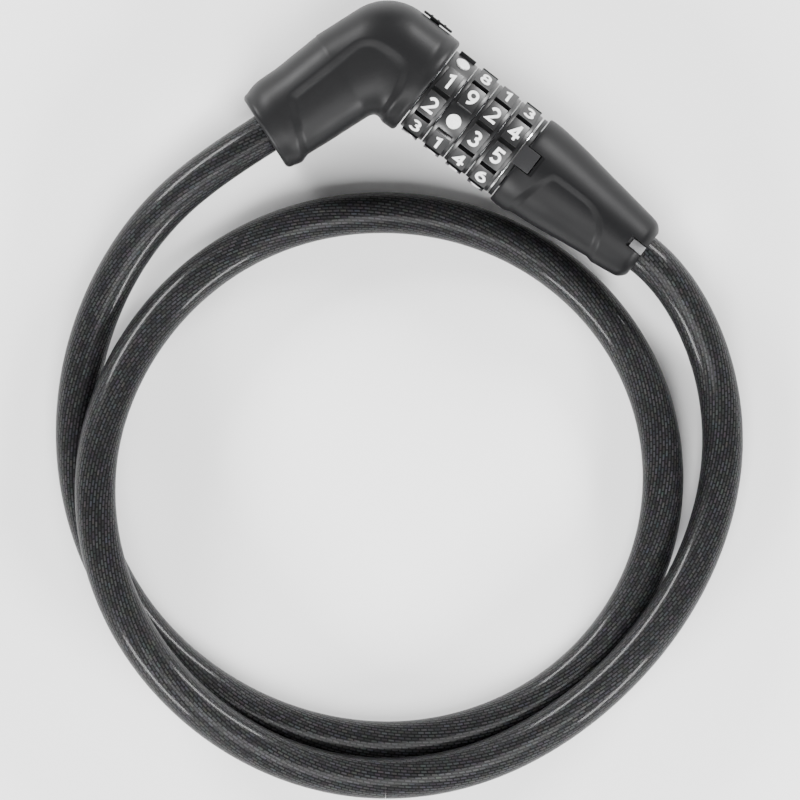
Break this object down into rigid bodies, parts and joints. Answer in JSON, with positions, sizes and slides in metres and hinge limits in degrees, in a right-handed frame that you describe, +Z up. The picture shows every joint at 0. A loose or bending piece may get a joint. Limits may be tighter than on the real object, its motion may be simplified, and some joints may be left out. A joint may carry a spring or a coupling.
{
  "type": "bicycle cable lock",
  "caption": "Combination lock with a thick looped cable: angled head, row of turning code dials and a tapered plug that pulls out along the barrel.",
  "frame": {"origin": "on the ground under the elbow of the head, on the flat of the underside of the head", "axes": "+X along the barrel from the head to the plug, +Y to the side of the code-set slider and away from the cable loop, +Z up from the surface that the lock lies on"},
  "size_m": [0.2517, 0.2605, 0.0385],
  "materials": {
    "cover": "soft-touch black, fine grain",
    "dial": "black, semi-gloss, white raised digits",
    "collar": "black satin",
    "slider": "black satin",
    "snap_tab": "light grey",
    "grommet": "black",
    "sheath": "glossy dark translucent PVC over a stranded steel rope",
    "steel": "plated",
    "washer": "bright",
    "spring": "spring steel",
    "casting": "die-cast zinc, uncoated"
  },
  "bodies": {
    "lock_body": {"head_cover_top": "cover", "head_cover_bottom": "cover", "head_core": "casting", "barrel_tube": "steel", "detent_spring": "spring", "ejector_spring": "spring", "reset_spring": "spring", "index_collar": "collar", "collar_clip": "steel", "thrust_washer": "washer", "head_ferrule": "steel", "head_ferrule_pin": "steel", "head_rope_end": "steel", "head_grommet": "grommet", "cable_main": "sheath"},
    "reset_slider": {"code_set_slider": "slider", "reset_fork": "casting"},
    "plug": {"plug_cover": "cover", "plug_core": "casting", "lock_bolt": "steel", "bolt_pin": "steel", "plug_ferrule": "steel", "plug_ferrule_pin": "steel", "plug_rope_end": "steel", "cap_retainer": "snap_tab", "cable_plug_run": "sheath"},
    "dial_1": {"code_dial_1": "dial"},
    "clutch_1": {"clutch_ring_1": "casting"},
    "dial_2": {"code_dial_2": "dial"},
    "clutch_2": {"clutch_ring_2": "casting"},
    "dial_3": {"code_dial_3": "dial"},
    "clutch_3": {"clutch_ring_3": "casting"},
    "dial_4": {"code_dial_4": "dial"},
    "clutch_4": {"clutch_ring_4": "casting"}
  },
  "joints": [
    {"name": "plug_slide", "type": "slide", "parent": "lock_body", "child": "plug", "axis": [1, 0, 0], "range_m": [0, 0.056]},
    {"name": "reset_slide", "type": "slide", "parent": "lock_body", "child": "reset_slider", "axis": [1, 0, 0], "range_m": [0, 0.002], "deforming": ["reset_spring"]},
    {"name": "dial_1_spin", "type": "hinge", "parent": "lock_body", "child": "dial_1", "pos_m": [0, 0, 0.019], "axis": [1, 0, 0], "continuous": true},
    {"name": "dial_2_spin", "type": "hinge", "parent": "lock_body", "child": "dial_2", "pos_m": [0, 0, 0.019], "axis": [1, 0, 0], "continuous": true},
    {"name": "dial_3_spin", "type": "hinge", "parent": "lock_body", "child": "dial_3", "pos_m": [0, 0, 0.019], "axis": [1, 0, 0], "continuous": true},
    {"name": "dial_4_spin", "type": "hinge", "parent": "lock_body", "child": "dial_4", "pos_m": [0, 0, 0.019], "axis": [1, 0, 0], "continuous": true},
    {"name": "clutch_1_spin", "type": "hinge", "parent": "reset_slider", "child": "clutch_1", "pos_m": [0, 0, 0.019], "axis": [1, 0, 0], "continuous": true},
    {"name": "clutch_2_spin", "type": "hinge", "parent": "reset_slider", "child": "clutch_2", "pos_m": [0, 0, 0.019], "axis": [1, 0, 0], "continuous": true},
    {"name": "clutch_3_spin", "type": "hinge", "parent": "reset_slider", "child": "clutch_3", "pos_m": [0, 0, 0.019], "axis": [1, 0, 0], "continuous": true},
    {"name": "clutch_4_spin", "type": "hinge", "parent": "reset_slider", "child": "clutch_4", "pos_m": [0, 0, 0.019], "axis": [1, 0, 0], "continuous": true}
  ],
  "couplings": [
    {"joint": "clutch_1_spin", "follows": "dial_1_spin", "ratio": 1},
    {"joint": "clutch_2_spin", "follows": "dial_2_spin", "ratio": 1},
    {"joint": "clutch_3_spin", "follows": "dial_3_spin", "ratio": 1},
    {"joint": "clutch_4_spin", "follows": "dial_4_spin", "ratio": 1}
  ]
}
